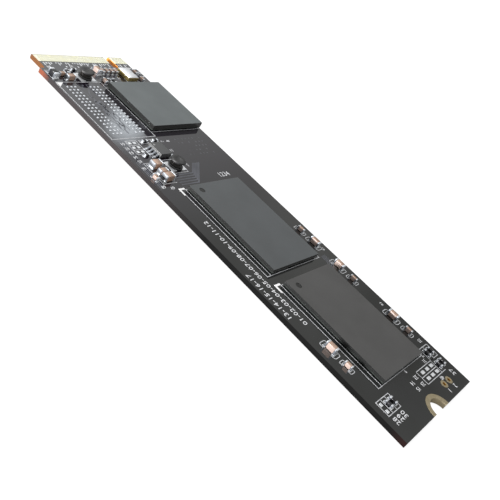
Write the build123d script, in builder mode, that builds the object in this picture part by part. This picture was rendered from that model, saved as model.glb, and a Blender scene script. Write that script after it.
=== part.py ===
from build123d import *
import os

os.makedirs("parts", exist_ok=True)

# A gumstick solid state drive: a bare card, 22 wide and 80 long, with an edge connector at one end
# and half a screw hole at the other. All sizes are in millimetres. +Z is up out of the side that
# carries the parts, +Y points to the connector and the origin is under the middle of the card.

# Card and copper
board_thickness = 0.8
copper = 0.035
shoulder_step = 1.075
shoulder_radius = 0.5
tongue_depth = 4.0
tip_bevel = 0.15

# Edge contacts: odd pins on top, even pins underneath, and eight pins left out for the key
pin_count = 75
contact_spacing = 0.25
first_key_pin = 59
last_key_pin = 66
contact_width = 0.35
contact_length = 1.8
contact_setback = 0.25
tongue_margin = 0.5
key_width = 1.2
key_depth = 3.5

# Zones down the length of the card; together they make its 80
connector_zone = 9.35
controller_size = 12.0
power_zone = 13.6
flash_length = 18.0
flash_spacing = 2.15
screw_zone = 6.9

# Packages on solder balls
ball_height = 0.22
controller_base = 0.25
controller_cap = 0.68
controller_inset = 0.15
controller_balls = 6
controller_ball_spacing = 1.8
controller_ball_radius = 0.3
controller_die_size = 4.2
controller_die_height = 0.3
flash_width = 12.0
flash_base = 0.2
flash_cap = 0.45
flash_ball_rows = 6
flash_ball_columns = 2
flash_ball_spacing = 2.0
flash_bank_spacing = 6.0
flash_ball_radius = 0.3
die_count = 4
die_width = 8.4
die_length = 11.6
die_height = 0.07
die_step = 0.35
pin_one_radius = 0.5
pin_one_depth = 0.04
pin_one_inset_x = 1.65
pin_one_inset_y = 1.35

# Empty place for a memory chip
memory_rows = 16
memory_columns = 3
memory_spacing = 0.8
memory_bank_spacing = 4.8
memory_pad_radius = 0.2
memory_shift = 0.15
memory_gap = 1.5

# Two-ended chip parts: length, width and height, and the metal wrapped round each end
bulk_length = 2.0
bulk_width = 1.2
bulk_height = 1.0
bulk_end = 0.33
large_length = 1.75
large_width = 0.85
large_height = 0.87
large_end = 0.3
small_length = 1.2
small_width = 0.55
small_height = 0.62
small_end = 0.22
resistor_length = 1.1
resistor_width = 0.5
resistor_height = 0.35
resistor_end = 0.24
fuse_length = 1.8
fuse_width = 1.0
fuse_height = 0.9
fuse_end = 0.4
end_wrap = 0.02
pad_reach = 0.15
pad_side = 0.04

# Capacitor pairs beside the flash packages, one large and one small
column_margin = 1.675
left_margin = 1.875
pair_gap = 1.525
pair_a_reach = 2.45
pair_b_reach = 0.55
pair_c_reach = 6.65
pair_d_reach = 7.2

# Drum coils and their lands
coil_radius = 1.2
coil_height = 1.3
coil_flange = 0.32
coil_neck_radius = 0.7
coil_wire = 0.25
coil_pad_width = 1.05
coil_pad_length = 2.3
coil_pad_span = 3.3

# Eight-legged supply switch
switch_width = 2.4
switch_length = 2.95
switch_height = 0.75
switch_standoff = 0.1
switch_taper = 7
leg_width = 0.28
leg_thickness = 0.14
leg_spacing = 0.65
leg_count = 4
leg_span = 4.4
leg_foot = 0.5
leg_anchor = 0.2

# Supply group between the controller and the first flash package
supply_margin = 2.3
supply_setback = 7.35
stack_far_gap = 0.625
stack_near_gap = 0.225
corner_gap = 0.925
corner_shift = 0.4
switch_margin = 4.75
switch_setback = 3.475
switch_coil_gap = 0.725
coil_bulk_gap = 1.55
sense_gap = 0.875
sense_spacing = 1.2
sense_shift = 0.25
gate_gap = 0.45
gate_shift = 0.55

# Inlet group at the left of the connector end
fuse_margin = 0.55
fuse_setback = 1.15
inlet_gap = 0.65
inlet_row_gap = 0.4
inlet_step = 0.625
enable_gap = 0.95
enable_setback = 0.6
feed_gap = 0.85
feed_setback = 0.35
inlet_coil_margin = 5.75
inlet_coil_gap = 1.75

# Clock crystal, with its capacitors and resistors, at the right of the connector end
crystal_width = 2.5
crystal_length = 3.3
crystal_height = 0.65
crystal_lid_height = 0.12
crystal_lid_inset = 0.1
crystal_corner = 0.12
crystal_pad = 0.9
crystal_margin = 3.3
crystal_setback = 0.35
clock_gap = 0.875
clock_spacing = 0.9
clock_shift = 0.25
strap_margin = 0.8
strap_setback = 0.15
strap_spacing = 0.32

# Filter row between the crystal and the coil, and the short row behind it
filter_count = 4
filter_spacing = 0.5
filter_crystal_gap = 0.645
filter_setback = 0.45
filter_end_gap = 0.26
filter_step = 0.15
bypass_inset = 0.425
bypass_gap = 0.8
bypass_spacing = 0.725
reset_gap = 1.05
reset_spacing = 0.6

# Resistors and empty lands at the screw end
cell_margin = 1.45
cell_setback = 3.87
cell_spacing = 0.65
cell_row_spacing = 1.03
link_margin = 2.7
link_spacing = 0.7
link_shift = 0.2
spare_length = 0.85
spare_width = 0.48
spare_spacing = 0.57
spare_gap = 0.65
spare_count = 3
spare_margin = 4.0
memory_spare_margin = 2.75
memory_spare_setback = 2.1
memory_spare_gap = 0.52

# Screw end
screw_radius = 1.75
screw_pad_radius = 2.45
test_hole_radius = 0.3
test_pad_radius = 0.6
test_hole_spacing = 1.7
test_hole_inset = 2.05
test_hole_margin = 3.95

# Derived places
contact_span = contact_spacing * (pin_count - 1)
tongue_width = contact_span + contact_width + 2 * tongue_margin
board_width = tongue_width + 2 * shoulder_step
board_length = (
    connector_zone + controller_size + power_zone + 2 * flash_length + flash_spacing + screw_zone
)
connector_edge = board_length / 2
screw_edge = -board_length / 2
shoulder_y = connector_edge - tongue_depth
right_edge = board_width / 2
left_edge = -board_width / 2
key_x = contact_spacing * ((first_key_pin + last_key_pin) / 2 - (pin_count + 1) / 2)
board_bottom = copper
board_top = board_bottom + board_thickness
pad_top = board_top + copper

controller_x = right_edge - controller_inset - controller_size / 2
controller_y = connector_edge - connector_zone - controller_size / 2
controller_left = controller_x - controller_size / 2
controller_far = controller_y + controller_size / 2
controller_near = controller_y - controller_size / 2
flash_a_y = controller_near - power_zone - flash_length / 2
flash_b_y = flash_a_y - flash_length - flash_spacing

on_board = (Align.CENTER, Align.CENTER, Align.MIN)


def lengthwise(x, y, z=pad_top):
    """Place of a two-ended chip part whose ends point along the card."""
    return Location((x, y, z), (0, 0, 90))


def crosswise(x, y, z=pad_top):
    """Place of a two-ended chip part whose ends point across the card."""
    return Location((x, y, z))


def pin_x(pin):
    """Distance across the card of one contact pin."""
    return contact_spacing * (pin - (pin_count + 1) / 2)


# Card: tongue between two shoulders, key slot, half screw hole and two test holes
test_hole_y = screw_edge + test_hole_inset
test_hole_x = right_edge - test_hole_margin - test_hole_spacing / 2
with BuildPart() as circuit_board:
    with BuildSketch(Plane.XY.offset(board_bottom)):
        with BuildLine():
            Polyline(
                (left_edge, screw_edge),
                (right_edge, screw_edge),
                (right_edge, shoulder_y),
                (tongue_width / 2, shoulder_y),
                (tongue_width / 2, connector_edge),
                (-tongue_width / 2, connector_edge),
                (-tongue_width / 2, shoulder_y),
                (left_edge, shoulder_y),
                close=True,
            )
        make_face()
        with Locations((key_x, connector_edge)):
            SlotOverall(2 * key_depth, key_width, rotation=90, mode=Mode.SUBTRACT)
        with Locations((0, screw_edge)):
            Circle(screw_radius + copper, mode=Mode.SUBTRACT)
        with Locations((test_hole_x, test_hole_y)):
            with GridLocations(test_hole_spacing, 0, 2, 1):
                Circle(test_hole_radius, mode=Mode.SUBTRACT)
    extrude(amount=board_thickness)
    upright = circuit_board.edges().filter_by(Axis.Z)
    shoulders = upright.filter_by_position(Axis.Y, shoulder_y, shoulder_y)
    fillet(shoulders.sort_by(Axis.X)[1:3], min(shoulder_radius, shoulder_step * 0.9))
    tips = circuit_board.faces().filter_by(Axis.Y).group_by(Axis.Y)[-1]
    chamfer(tips.edges().filter_by(Axis.X), tip_bevel)
circuit_board.part.label = "circuit_board"
export_step(circuit_board.part, "parts/circuit_board.step")

contact_y = connector_edge - contact_setback - contact_length / 2
key_pins = range(first_key_pin, last_key_pin + 1)
top_pins = [pin for pin in range(1, pin_count + 1, 2) if pin not in key_pins]
bottom_pins = [pin for pin in range(2, pin_count + 1, 2) if pin not in key_pins]

with BuildPart() as top_contacts:
    with Locations([(pin_x(pin), contact_y, board_top) for pin in top_pins]):
        Box(contact_width, contact_length, copper, align=on_board)
top_contacts.part.label = "top_contacts"
export_step(top_contacts.part, "parts/top_contacts.step")

with BuildPart() as bottom_contacts:
    with Locations([(pin_x(pin), contact_y, 0) for pin in bottom_pins]):
        Box(contact_width, contact_length, copper, align=on_board)
bottom_contacts.part.label = "bottom_contacts"
export_step(bottom_contacts.part, "parts/bottom_contacts.step")

# Plated lining of the half screw hole: a land above, a land below and the wall between them
with BuildPart() as screw_notch_plating:
    with BuildSketch(Plane.XZ.offset(-screw_edge)):
        with BuildLine():
            Polyline(
                (screw_radius, 0),
                (screw_pad_radius, 0),
                (screw_pad_radius, board_bottom),
                (screw_radius + copper, board_bottom),
                (screw_radius + copper, board_top),
                (screw_pad_radius, board_top),
                (screw_pad_radius, pad_top),
                (screw_radius, pad_top),
                close=True,
            )
        make_face()
    revolve(axis=Axis((0, screw_edge, 0), (0, 0, 1)), revolution_arc=180)
screw_notch_plating.part.label = "screw_notch_plating"
export_step(screw_notch_plating.part, "parts/screw_notch_plating.step")

# Ringed test points: a flat round land above each test hole
with BuildPart() as test_point_lands:
    with BuildSketch(Plane.XY.offset(board_top)):
        with Locations((test_hole_x, test_hole_y)):
            with GridLocations(test_hole_spacing, 0, 2, 1):
                Circle(test_pad_radius)
                Circle(test_hole_radius, mode=Mode.SUBTRACT)
    extrude(amount=copper)
test_point_lands.part.label = "test_point_lands"
export_step(test_point_lands.part, "parts/test_point_lands.step")

# Controller: ball field, base board, silicon die and moulded cap
controller_floor = board_top + ball_height
controller_deck = controller_floor + controller_base

with BuildPart() as controller_solder_balls:
    with BuildSketch(Plane.XY.offset(board_top)):
        with Locations((controller_x, controller_y)):
            with GridLocations(
                controller_ball_spacing, controller_ball_spacing, controller_balls, controller_balls
            ):
                RegularPolygon(controller_ball_radius, 6)
    extrude(amount=ball_height)
controller_solder_balls.part.label = "controller_solder_balls"
export_step(controller_solder_balls.part, "parts/controller_solder_balls.step")

with BuildPart() as controller_substrate:
    with Locations((controller_x, controller_y, controller_floor)):
        Box(controller_size, controller_size, controller_base, align=on_board)
controller_substrate.part.label = "controller_substrate"
export_step(controller_substrate.part, "parts/controller_substrate.step")

with BuildPart() as controller_die:
    with Locations((controller_x, controller_y, controller_deck)):
        Box(controller_die_size, controller_die_size, controller_die_height, align=on_board)
controller_die.part.label = "controller_die"
export_step(controller_die.part, "parts/controller_die.step")

with BuildPart() as controller_case:
    with Locations((controller_x, controller_y, controller_deck)):
        Box(controller_size, controller_size, controller_cap, align=on_board)
    add(controller_die.part, mode=Mode.SUBTRACT)
controller_case.part.label = "controller_case"
export_step(controller_case.part, "parts/controller_case.step")

# Flash packages: the same chip twice, each with a stair of thin dies inside its moulded cap
flash_floor = board_top + ball_height
flash_deck = flash_floor + flash_base
for flash, flash_y in (("flash_a", flash_a_y), ("flash_b", flash_b_y)):
    with BuildPart() as flash_solder_balls:
        with BuildSketch(Plane.XY.offset(board_top)):
            with Locations((0, flash_y)):
                with GridLocations(flash_bank_spacing, 0, 2, 1):
                    with GridLocations(
                        flash_ball_spacing, flash_ball_spacing, flash_ball_columns, flash_ball_rows
                    ):
                        RegularPolygon(flash_ball_radius, 6)
        extrude(amount=ball_height)
    flash_solder_balls.part.label = flash + "_solder_balls"
    export_step(flash_solder_balls.part, "parts/" + flash + "_solder_balls.step")

    with BuildPart() as flash_substrate:
        with Locations((0, flash_y, flash_floor)):
            Box(flash_width, flash_length, flash_base, align=on_board)
    flash_substrate.part.label = flash + "_substrate"
    export_step(flash_substrate.part, "parts/" + flash + "_substrate.step")

    with BuildPart() as flash_dies:
        for level in range(die_count):
            shift = die_step * (level - (die_count - 1) / 2)
            with Locations((0, flash_y + shift, flash_deck + level * die_height)):
                Box(die_width, die_length, die_height, align=on_board)
    flash_dies.part.label = flash + "_dies"
    export_step(flash_dies.part, "parts/" + flash + "_dies.step")

    with BuildPart() as flash_case:
        with Locations((0, flash_y, flash_deck)):
            Box(flash_width, flash_length, flash_cap, align=on_board)
        add(flash_dies.part, mode=Mode.SUBTRACT)
        with BuildSketch(Plane.XY.offset(flash_deck + flash_cap)):
            with Locations(
                (pin_one_inset_x - flash_width / 2, flash_y + flash_length / 2 - pin_one_inset_y)
            ):
                Circle(pin_one_radius)
        extrude(amount=-pin_one_depth, mode=Mode.SUBTRACT)
    flash_case.part.label = flash + "_case"
    export_step(flash_case.part, "parts/" + flash + "_case.step")

# Empty memory place beside the controller: two banks of tinned lands
memory_half = memory_bank_spacing / 2 + memory_spacing * (memory_columns - 1) / 2 + memory_pad_radius
memory_x = controller_left - memory_gap - memory_half
with BuildPart() as memory_lands:
    with BuildSketch(Plane.XY.offset(board_top)):
        with Locations((memory_x, controller_y + memory_shift)):
            with GridLocations(memory_bank_spacing, 0, 2, 1):
                with GridLocations(memory_spacing, memory_spacing, memory_columns, memory_rows):
                    RegularPolygon(memory_pad_radius, 6)
    extrude(amount=copper)
memory_lands.part.label = "memory_lands"
export_step(memory_lands.part, "parts/memory_lands.step")

# Supply switch beside the controller: drawn legs, and a moulded body with drafted sides round them
switch_x = left_edge + switch_margin + leg_span / 2
switch_y = controller_near - switch_setback - switch_length / 2
switch_floor = board_top + switch_standoff
switch_parting = switch_floor + switch_height / 2
leg_bend = switch_width / 2 + leg_thickness
leg_toe = leg_span / 2 - leg_foot

with BuildPart() as switch_legs:
    for leg in range(leg_count):
        leg_y = switch_y + leg_spacing * (leg - (leg_count - 1) / 2)
        with BuildSketch(Plane((switch_x, leg_y, 0), x_dir=(1, 0, 0), z_dir=(0, -1, 0))):
            with BuildLine():
                Polyline(
                    (switch_width / 2 - leg_anchor, switch_parting + leg_thickness / 2),
                    (leg_bend, switch_parting + leg_thickness / 2),
                    (leg_toe + leg_thickness / 2, pad_top + leg_thickness),
                    (leg_span / 2, pad_top + leg_thickness),
                    (leg_span / 2, pad_top),
                    (leg_toe, pad_top),
                    (leg_bend - leg_thickness / 2, switch_parting - leg_thickness / 2),
                    (switch_width / 2 - leg_anchor, switch_parting - leg_thickness / 2),
                    close=True,
                )
            make_face()
        extrude(amount=leg_width / 2, both=True)
    mirror(about=Plane.YZ.offset(switch_x))
switch_legs.part.label = "switch_legs"
export_step(switch_legs.part, "parts/switch_legs.step")

with BuildPart() as switch_body:
    with BuildSketch(Plane.XY.offset(switch_parting)):
        with Locations((switch_x, switch_y)):
            Rectangle(switch_width, switch_length)
    extrude(amount=switch_height / 2, taper=switch_taper)
    mirror(about=Plane.XY.offset(switch_parting))
    add(switch_legs.part, mode=Mode.SUBTRACT)
switch_body.part.label = "switch_body"
export_step(switch_body.part, "parts/switch_body.step")

with BuildPart() as switch_lands:
    with Locations((switch_x, switch_y, board_top)):
        with GridLocations(leg_span - leg_foot + pad_reach, leg_spacing, 2, leg_count):
            Box(leg_foot + pad_reach, leg_width + 2 * pad_side, copper, align=on_board)
switch_lands.part.label = "switch_lands"
export_step(switch_lands.part, "parts/switch_lands.step")

# Places of the capacitors in the supply group: two bulk ones with a large one between them
bulk_x = left_edge + supply_margin + bulk_length / 2
bulk_far_y = controller_near - supply_setback - bulk_width / 2
stack_y = bulk_far_y - (bulk_width + large_width) / 2 - stack_far_gap
bulk_near_y = stack_y - (bulk_width + large_width) / 2 - stack_near_gap
corner_x = left_edge + supply_margin - corner_gap - small_width / 2

# Drum coils: a core with two flanges, wire wound round its neck, and two lands under it
coil_places = (
    (
        left_edge + inlet_coil_margin + coil_pad_span / 2,
        controller_far + inlet_coil_gap + coil_pad_length / 2,
    ),
    (
        bulk_x + bulk_length / 2 + coil_bulk_gap + coil_pad_span / 2,
        switch_y - switch_length / 2 - switch_coil_gap - coil_radius,
    ),
)
with BuildPart() as drum:
    with BuildSketch(Plane.XZ):
        with BuildLine():
            Polyline(
                (0, pad_top),
                (coil_radius, pad_top),
                (coil_radius, pad_top + coil_flange),
                (coil_neck_radius, pad_top + coil_flange),
                (coil_neck_radius, pad_top + coil_height - coil_flange),
                (coil_radius, pad_top + coil_height - coil_flange),
                (coil_radius, pad_top + coil_height),
                (0, pad_top + coil_height),
                close=True,
            )
        make_face()
    revolve(axis=Axis.Z)

with BuildPart() as coil_cores:
    with Locations(*coil_places):
        add(drum.part)
coil_cores.part.label = "coil_cores"
export_step(coil_cores.part, "parts/coil_cores.step")

with BuildPart() as coil_windings:
    with BuildSketch(Plane.XY.offset(pad_top + coil_flange)):
        with Locations(*coil_places):
            Circle(coil_neck_radius + coil_wire)
            Circle(coil_neck_radius, mode=Mode.SUBTRACT)
    extrude(amount=coil_height - 2 * coil_flange)
coil_windings.part.label = "coil_windings"
export_step(coil_windings.part, "parts/coil_windings.step")

with BuildPart() as coil_lands:
    with BuildSketch(Plane.XY.offset(board_top)):
        with Locations(*coil_places):
            with GridLocations(coil_pad_span - coil_pad_width, 0, 2, 1):
                Rectangle(coil_pad_width, coil_pad_length)
    extrude(amount=copper)
coil_lands.part.label = "coil_lands"
export_step(coil_lands.part, "parts/coil_lands.step")

# Clock crystal: ceramic tub with cut corners, a metal lid and four lands
crystal_x = right_edge - crystal_margin - crystal_width / 2
crystal_y = shoulder_y - crystal_setback - crystal_length / 2
with BuildPart() as crystal_lands:
    with Locations((crystal_x, crystal_y, board_top)):
        with GridLocations(crystal_width - crystal_pad, crystal_length - crystal_pad, 2, 2):
            Box(crystal_pad, crystal_pad, copper, align=on_board)
crystal_lands.part.label = "crystal_lands"
export_step(crystal_lands.part, "parts/crystal_lands.step")

with BuildPart() as crystal_base:
    with Locations((crystal_x, crystal_y, pad_top)):
        Box(crystal_width, crystal_length, crystal_height, align=on_board)
    chamfer(crystal_base.edges().filter_by(Axis.Z), crystal_corner)
crystal_base.part.label = "crystal_base"
export_step(crystal_base.part, "parts/crystal_base.step")

with BuildPart() as crystal_lid:
    with BuildSketch(Plane.XY.offset(pad_top + crystal_height)):
        with Locations((crystal_x, crystal_y)):
            RectangleRounded(
                crystal_width - 2 * crystal_lid_inset,
                crystal_length - 2 * crystal_lid_inset,
                crystal_corner,
            )
    extrude(amount=crystal_lid_height)
crystal_lid.part.label = "crystal_lid"
export_step(crystal_lid.part, "parts/crystal_lid.step")

# Places of the chip parts round the crystal and along the filter row
clock_x = crystal_x + (crystal_width + small_width) / 2 + clock_gap
clock_pitch = small_length + clock_spacing
strap_x = right_edge - strap_margin - resistor_width / 2
strap_y = shoulder_y - strap_setback - resistor_length / 2
filter_x = crystal_x - (crystal_width + small_width) / 2 - filter_crystal_gap
filter_y = shoulder_y - filter_setback - small_length / 2
filter_pitch = small_width + filter_spacing
filter_last_x = filter_x - filter_pitch * (filter_count - 1)
filter_end_x = filter_last_x - (small_width + large_width) / 2 - filter_end_gap
bypass_x = controller_left + bypass_inset + small_width / 2
reset_x = bypass_x + (small_width + resistor_width) / 2 + bypass_spacing
reset_y = controller_far + reset_gap + resistor_length / 2

# Places of the chip parts in the inlet group
fuse_x = left_edge + fuse_margin + fuse_width / 2
fuse_y = shoulder_y - fuse_setback - fuse_length / 2
inlet_x = fuse_x + (fuse_width + small_length) / 2 + inlet_gap
inlet_large_x = inlet_x + (large_length - small_length) / 2 + inlet_step
inlet_large_y = fuse_y - (small_width + large_width) / 2 - inlet_row_gap
enable_x = inlet_x + (small_length + resistor_width) / 2 + enable_gap
enable_y = shoulder_y - enable_setback - resistor_length / 2
feed_x = enable_x + (resistor_width + resistor_length) / 2 + feed_gap
feed_y = shoulder_y - feed_setback - resistor_width / 2

# Places of the chip parts round the switch and at the screw end
sense_pitch = resistor_length + sense_spacing
sense_x = switch_x + sense_shift
sense_y = switch_y + (switch_length + resistor_width) / 2 + sense_gap
gate_x = switch_x - (leg_span + resistor_length) / 2 - gate_gap
cell_pitch = resistor_width + cell_spacing
cell_row_pitch = resistor_length + cell_row_spacing
cell_x = right_edge - cell_margin - resistor_width / 2
cell_y = screw_edge + cell_setback + resistor_length / 2
link_pitch = resistor_width + link_spacing
link_x = left_edge + link_margin + resistor_width / 2
link_y = cell_y + link_shift

# Places of the capacitor pairs, the large one of each measured from an end of its flash package
pair_pitch = (large_length + small_length) / 2 + pair_gap
right_column = right_edge - column_margin - large_width / 2
left_column = left_edge + left_margin + large_width / 2
flash_a_near = flash_a_y - flash_length / 2
flash_b_far = flash_b_y + flash_length / 2
flash_b_near = flash_b_y - flash_length / 2
pair_a_y = flash_a_near + pair_a_reach
pair_b_y = flash_b_far - pair_b_reach
pair_c_y = flash_b_near + pair_c_reach
pair_d_y = flash_b_near + pair_d_reach

bulk_places = [crosswise(bulk_x, bulk_far_y), crosswise(bulk_x, bulk_near_y)]
large_places = [
    lengthwise(right_column, pair_a_y),
    lengthwise(right_column, pair_b_y),
    lengthwise(right_column, pair_c_y),
    lengthwise(left_column, pair_d_y),
    lengthwise(filter_end_x, filter_y + filter_step),
    crosswise(inlet_large_x, inlet_large_y),
    crosswise(bulk_x, stack_y),
]
small_places = [
    lengthwise(right_column, pair_a_y + pair_pitch),
    lengthwise(right_column, pair_b_y - pair_pitch),
    lengthwise(right_column, pair_c_y - pair_pitch),
    lengthwise(left_column, pair_d_y - pair_pitch),
    lengthwise(clock_x, crystal_y - clock_shift + clock_pitch / 2),
    lengthwise(clock_x, crystal_y - clock_shift - clock_pitch / 2),
    lengthwise(bypass_x, controller_far + bypass_gap + small_length / 2),
    lengthwise(corner_x, bulk_near_y + corner_shift),
    crosswise(inlet_x, fuse_y),
]
small_places += [
    lengthwise(filter_x - filter_pitch * index, filter_y) for index in range(filter_count)
]
resistor_places = [
    lengthwise(cell_x, cell_y),
    lengthwise(cell_x - cell_pitch, cell_y),
    lengthwise(cell_x, cell_y + cell_row_pitch),
    lengthwise(cell_x - cell_pitch, cell_y + cell_row_pitch),
    lengthwise(link_x, link_y),
    lengthwise(link_x + link_pitch, link_y),
    crosswise(sense_x - sense_pitch / 2, sense_y),
    crosswise(sense_x + sense_pitch / 2, sense_y),
    crosswise(gate_x, switch_y - gate_shift),
    lengthwise(reset_x, reset_y),
    lengthwise(reset_x + resistor_width + reset_spacing, reset_y),
    lengthwise(strap_x, strap_y),
    lengthwise(strap_x, strap_y - resistor_length - strap_spacing),
    lengthwise(enable_x, enable_y),
    crosswise(feed_x, feed_y),
]
fuse_places = [lengthwise(fuse_x, fuse_y)]

# Two-ended chip parts: a body between two metal ends, on a land under each end
chips = (
    ("bulk_capacitor", bulk_places, bulk_length, bulk_width, bulk_height, bulk_end),
    ("large_capacitor", large_places, large_length, large_width, large_height, large_end),
    ("small_capacitor", small_places, small_length, small_width, small_height, small_end),
    ("resistor", resistor_places, resistor_length, resistor_width, resistor_height, resistor_end),
    ("fuse", fuse_places, fuse_length, fuse_width, fuse_height, fuse_end),
)

for kind, places, length, width, height, end in chips:
    with BuildPart() as chip_bodies:
        with Locations(*places):
            with Locations((0, 0, end_wrap)):
                Box(length - 2 * end, width - 2 * end_wrap, height - 2 * end_wrap, align=on_board)
    chip_bodies.part.label = kind + "_bodies"
    export_step(chip_bodies.part, "parts/" + kind + "_bodies.step")

    with BuildPart() as chip_ends:
        with Locations(*places):
            with GridLocations(length - end, 0, 2, 1):
                Box(end, width, height, align=on_board)
    chip_ends.part.label = kind + "_ends"
    export_step(chip_ends.part, "parts/" + kind + "_ends.step")

with BuildPart() as chip_lands:
    for kind, places, length, width, height, end in chips:
        with Locations(*places):
            with Locations((0, 0, -copper)):
                with GridLocations(length - end + pad_reach, 0, 2, 1):
                    Box(end + pad_reach, width + 2 * pad_side, copper, align=on_board)
chip_lands.part.label = "chip_lands"
export_step(chip_lands.part, "parts/chip_lands.step")

# Lands left empty: beside the switch, beside the link resistors and beside the screw
spare_pitch = spare_width + spare_spacing
spare_column_pitch = spare_length + spare_gap
spare_x = right_edge - spare_margin - spare_length / 2 - spare_column_pitch * (spare_count - 1) / 2
memory_spare_x = left_edge + memory_spare_margin + (2 * spare_width + memory_spare_gap) / 2
memory_spare_y = controller_near - memory_spare_setback - spare_width / 2 - spare_pitch
link_spare_x = link_x - link_pitch
with BuildPart() as spare_lands:
    with BuildSketch(Plane.XY.offset(board_top)):
        with Locations((memory_spare_x, memory_spare_y)):
            with GridLocations(spare_width + memory_spare_gap, spare_pitch, 2, 3):
                Rectangle(spare_width, spare_width)
        with Locations((link_spare_x, link_y)):
            with GridLocations(0, spare_pitch, 1, 2):
                Rectangle(spare_width, spare_width)
        with Locations((spare_x, cell_y)):
            with GridLocations(spare_column_pitch, spare_pitch, spare_count, 2):
                Rectangle(spare_length, spare_width)
    extrude(amount=copper)
spare_lands.part.label = "spare_lands"
export_step(spare_lands.part, "parts/spare_lands.step")
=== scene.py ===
# %% [markdown]
# # A gumstick solid state drive
# This lesson dresses a small circuit card: a long black board with three flat black packages, a row
# of gold contacts at one end and half a screw hole at the other. The solid model is loaded first
# and never moved. A piece that stands for solids is placed from their boxes, so it can't drift.

# %% Load the frame
import bpy, bmesh, math, random
from mathutils import Matrix, Vector


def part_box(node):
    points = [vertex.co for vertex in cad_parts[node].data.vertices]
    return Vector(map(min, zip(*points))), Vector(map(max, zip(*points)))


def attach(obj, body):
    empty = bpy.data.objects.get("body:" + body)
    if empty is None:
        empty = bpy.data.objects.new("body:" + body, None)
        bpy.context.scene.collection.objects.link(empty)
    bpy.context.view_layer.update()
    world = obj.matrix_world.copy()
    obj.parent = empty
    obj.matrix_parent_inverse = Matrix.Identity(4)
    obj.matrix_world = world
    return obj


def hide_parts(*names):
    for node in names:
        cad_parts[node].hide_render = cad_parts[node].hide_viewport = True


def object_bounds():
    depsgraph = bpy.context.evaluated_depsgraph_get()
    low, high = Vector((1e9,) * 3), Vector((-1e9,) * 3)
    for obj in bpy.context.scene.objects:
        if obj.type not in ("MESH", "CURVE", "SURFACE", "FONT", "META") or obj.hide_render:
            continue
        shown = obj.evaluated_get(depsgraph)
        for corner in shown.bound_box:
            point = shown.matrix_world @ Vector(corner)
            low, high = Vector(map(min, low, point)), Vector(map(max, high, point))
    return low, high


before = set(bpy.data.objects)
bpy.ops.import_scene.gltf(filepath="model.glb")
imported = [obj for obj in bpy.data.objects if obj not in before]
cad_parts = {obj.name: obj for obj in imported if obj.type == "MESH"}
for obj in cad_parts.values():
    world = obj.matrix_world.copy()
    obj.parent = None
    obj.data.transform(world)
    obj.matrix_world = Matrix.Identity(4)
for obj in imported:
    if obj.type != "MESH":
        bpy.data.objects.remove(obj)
MM = 0.001
cad_low, cad_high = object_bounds()
print("solid model spans", [round(h - l, 5) for l, h in zip(cad_low, cad_high)])

# %% [markdown]
# ## Places on the card
# The card's top and ends and the boxes of its packages and contacts come from the solids. Frames,
# masks and plating are laid out from these values, so they stay with the parts they belong to. Small
# print and traces are laid out in millimetres on the card.

# %% Places
board_low, board_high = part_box("circuit_board")
TOP = board_high.z
SCREW_END, PLUG_END = board_low.y, board_high.y
contacts_low, contacts_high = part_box("top_contacts")
controller_low, controller_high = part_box("controller_case")
flash_a_low, flash_a_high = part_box("flash_a_case")
flash_b_low, flash_b_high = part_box("flash_b_case")
print("card top", round(TOP, 6), "controller top", round(controller_high.z, 6))

# %% [markdown]
# ## Finding the small solids
# One node holds all the capacitors of a size, or all the lands. To dress each one, the node's mesh is
# copied, its doubled corners are joined, and the loose islands are walked. Each island's box tells
# where one small solid is.

# %% Islands of a node
def islands(node):
    work = bmesh.new()
    work.from_mesh(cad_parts[node].data)
    bmesh.ops.remove_doubles(work, verts=work.verts, dist=1e-6)
    seen, found = set(), []
    for start in work.verts:
        if start.index in seen:
            continue
        seen.add(start.index)
        group, stack = [], [start]
        while stack:
            vert = stack.pop()
            group.append(vert.co.copy())
            for edge in vert.link_edges:
                other = edge.other_vert(vert)
                if other.index not in seen:
                    seen.add(other.index)
                    stack.append(other)
        low = Vector([min(c[i] for c in group) for i in range(3)])
        high = Vector([max(c[i] for c in group) for i in range(3)])
        found.append((low, high))
    work.free()
    return sorted(found, key=lambda b: (round(b[0].y, 6), round(b[0].x, 6)))


print("memory lands", len(islands("memory_lands")), "chip lands", len(islands("chip_lands")))

# %% [markdown]
# ## A short way to write node graphs
# Finishes, floor and room are small graphs of nodes. This class adds nodes to one graph. Its methods
# take plain numbers, colours or the outputs of earlier nodes, and hand back the output that the next
# node needs, so a graph reads from top to bottom like a sum.

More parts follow.
